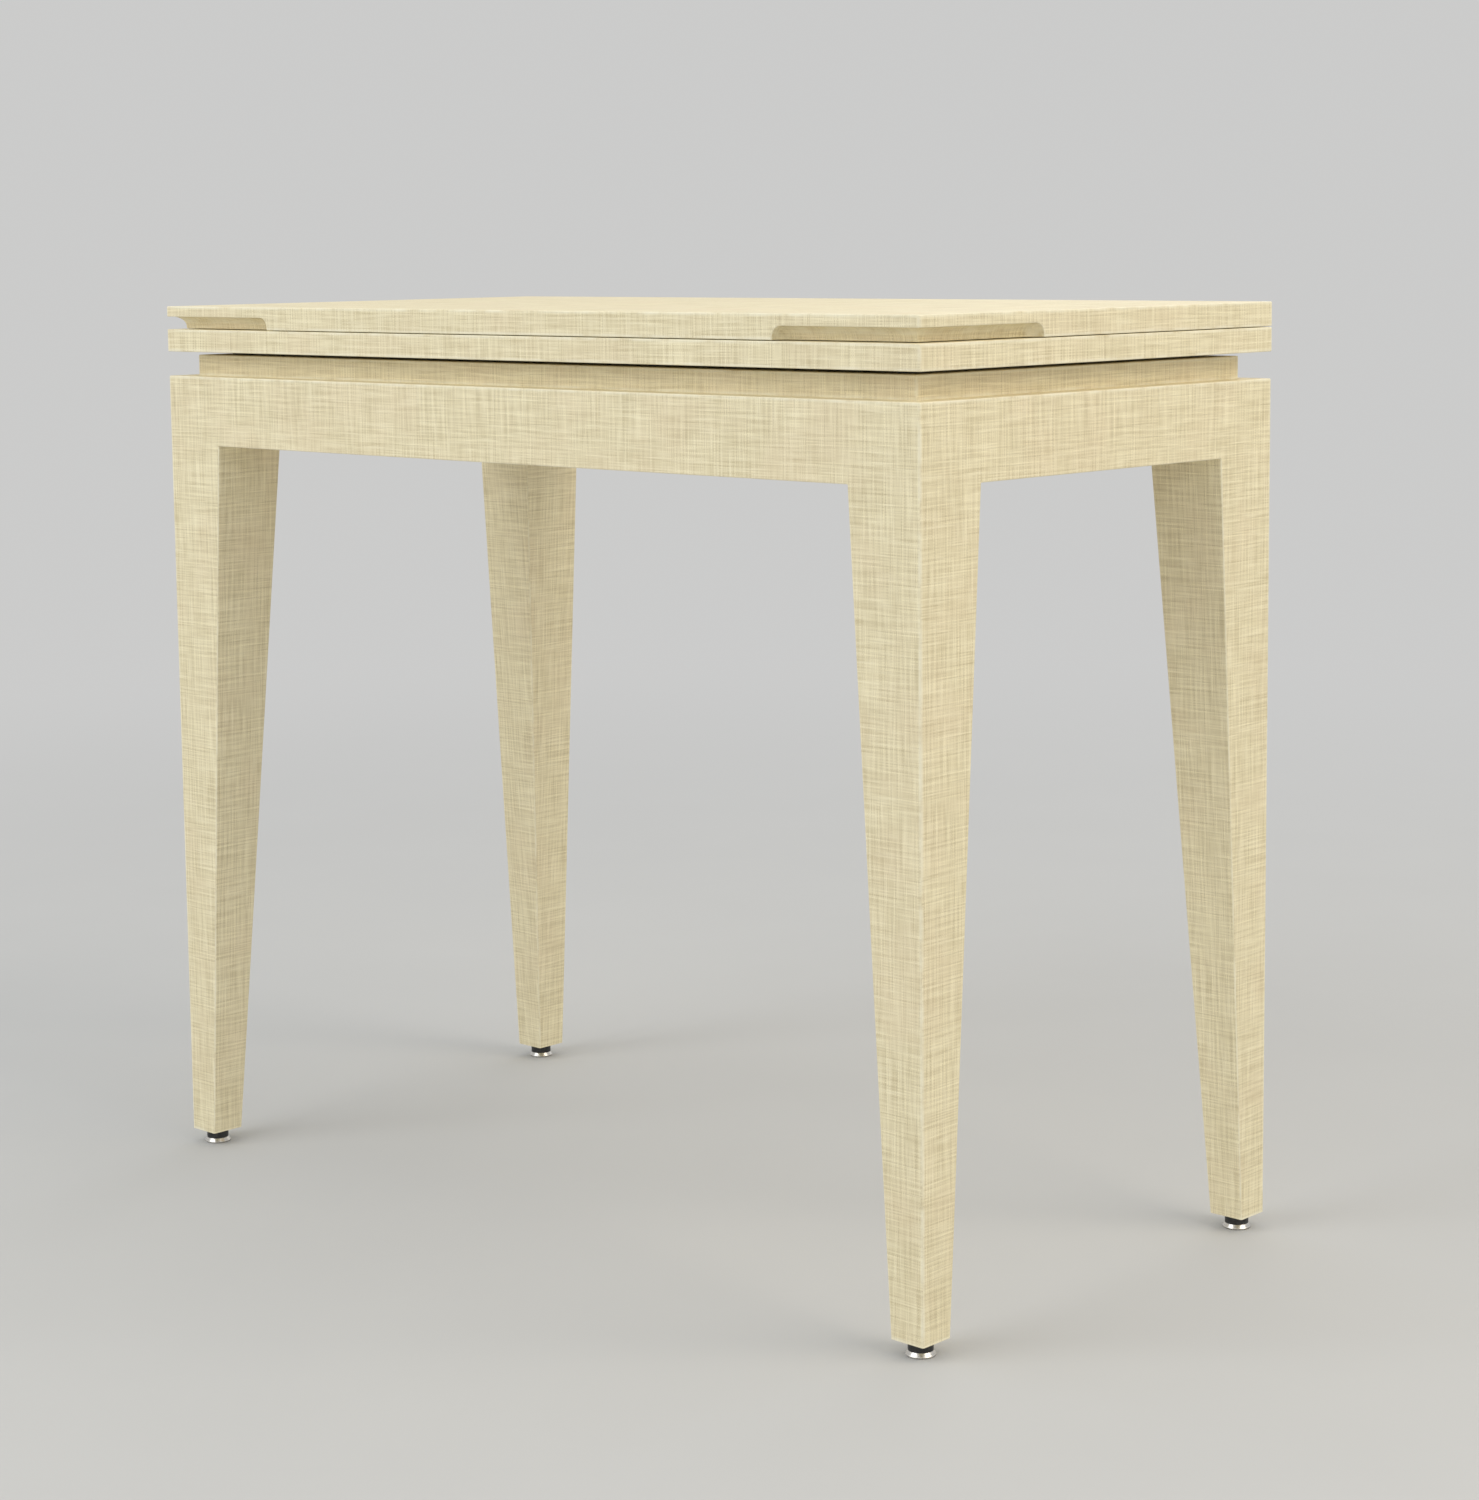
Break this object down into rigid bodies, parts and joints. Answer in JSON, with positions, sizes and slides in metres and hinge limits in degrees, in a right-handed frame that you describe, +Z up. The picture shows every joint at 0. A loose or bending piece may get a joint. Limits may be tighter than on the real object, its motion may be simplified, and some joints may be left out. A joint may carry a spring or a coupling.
{
  "type": "fold-over swivel-top table",
  "caption": "Narrow linen-wrapped table with tapered legs; its stacked leaves swivel a quarter turn and unfold into a square top.",
  "frame": {"origin": "on the floor under the middle of the folded top", "axes": "+X along the table, to the right seen from the front; +Y from front to back; +Z up"},
  "size_m": [0.864, 0.435, 0.7526],
  "materials": {
    "linen_wrap": "boards wrapped in cream linen under satin lacquer",
    "core_wood": "planed beech, unfinished",
    "brass": "satin brass",
    "zinc_steel": "bright zinc plating",
    "nickel": "polished nickel plating",
    "black_collar": "black moulded plastic",
    "nylon": "natural nylon",
    "felt": "pressed grey felt"
  },
  "bodies": {
    "base_frame": {"back_apron": "linen_wrap", "back_cleat": "core_wood", "back_left_leg": "linen_wrap", "back_right_leg": "linen_wrap", "cleat_screws": "zinc_steel", "foot_inserts": "zinc_steel", "front_apron": "linen_wrap", "front_cleat": "core_wood", "front_left_leg": "linen_wrap", "front_right_leg": "linen_wrap", "glide_pads": "felt", "left_apron": "linen_wrap", "left_cleat": "core_wood", "pivot_bush": "brass", "pivot_rail": "core_wood", "pivot_rail_screws": "zinc_steel", "right_apron": "linen_wrap", "right_cleat": "core_wood", "riser_panel": "linen_wrap", "riser_screws": "zinc_steel", "thrust_washer": "nylon"},
    "lower_top": {"lower_leaf": "linen_wrap", "pivot_spindle": "zinc_steel", "spindle_screws": "zinc_steel", "clamp_washer": "zinc_steel", "disc_spring": "zinc_steel", "lock_nut": "zinc_steel", "stop_pin": "zinc_steel", "lower_hinge_screws": "brass", "left_hinge_lower_plate": "brass", "middle_hinge_lower_plate": "brass", "right_hinge_lower_plate": "brass", "left_hinge_pin": "brass", "middle_hinge_pin": "brass", "right_hinge_pin": "brass"},
    "upper_top": {"upper_leaf": "linen_wrap", "upper_hinge_screws": "brass", "left_hinge_upper_plate": "brass", "middle_hinge_upper_plate": "brass", "right_hinge_upper_plate": "brass"},
    "front_left_foot": {"front_left_foot_base": "nickel", "front_left_foot_collar": "black_collar", "front_left_foot_stem": "zinc_steel"},
    "front_right_foot": {"front_right_foot_base": "nickel", "front_right_foot_collar": "black_collar", "front_right_foot_stem": "zinc_steel"},
    "back_right_foot": {"back_right_foot_base": "nickel", "back_right_foot_collar": "black_collar", "back_right_foot_stem": "zinc_steel"},
    "back_left_foot": {"back_left_foot_base": "nickel", "back_left_foot_collar": "black_collar", "back_left_foot_stem": "zinc_steel"}
  },
  "joints": [
    {"name": "top_swivel", "type": "hinge", "parent": "base_frame", "child": "lower_top", "pos_m": [0.1082, 0.1082, 0.7132], "axis": [0, 0, 1], "range_deg": [0, 90]},
    {"name": "leaf_flip", "type": "hinge", "parent": "lower_top", "child": "upper_top", "pos_m": [0, 0.2164, 0.7329], "axis": [-1, 0, 0], "range_deg": [0, 180]},
    {"name": "front_left_foot_screw", "type": "slide", "parent": "base_frame", "child": "front_left_foot", "axis": [0, 0, -1], "range_m": [-0.0015, 0.01]},
    {"name": "front_right_foot_screw", "type": "slide", "parent": "base_frame", "child": "front_right_foot", "axis": [0, 0, -1], "range_m": [-0.0015, 0.01]},
    {"name": "back_right_foot_screw", "type": "slide", "parent": "base_frame", "child": "back_right_foot", "axis": [0, 0, -1], "range_m": [-0.0015, 0.01]},
    {"name": "back_left_foot_screw", "type": "slide", "parent": "base_frame", "child": "back_left_foot", "axis": [0, 0, -1], "range_m": [-0.0015, 0.01]}
  ]
}
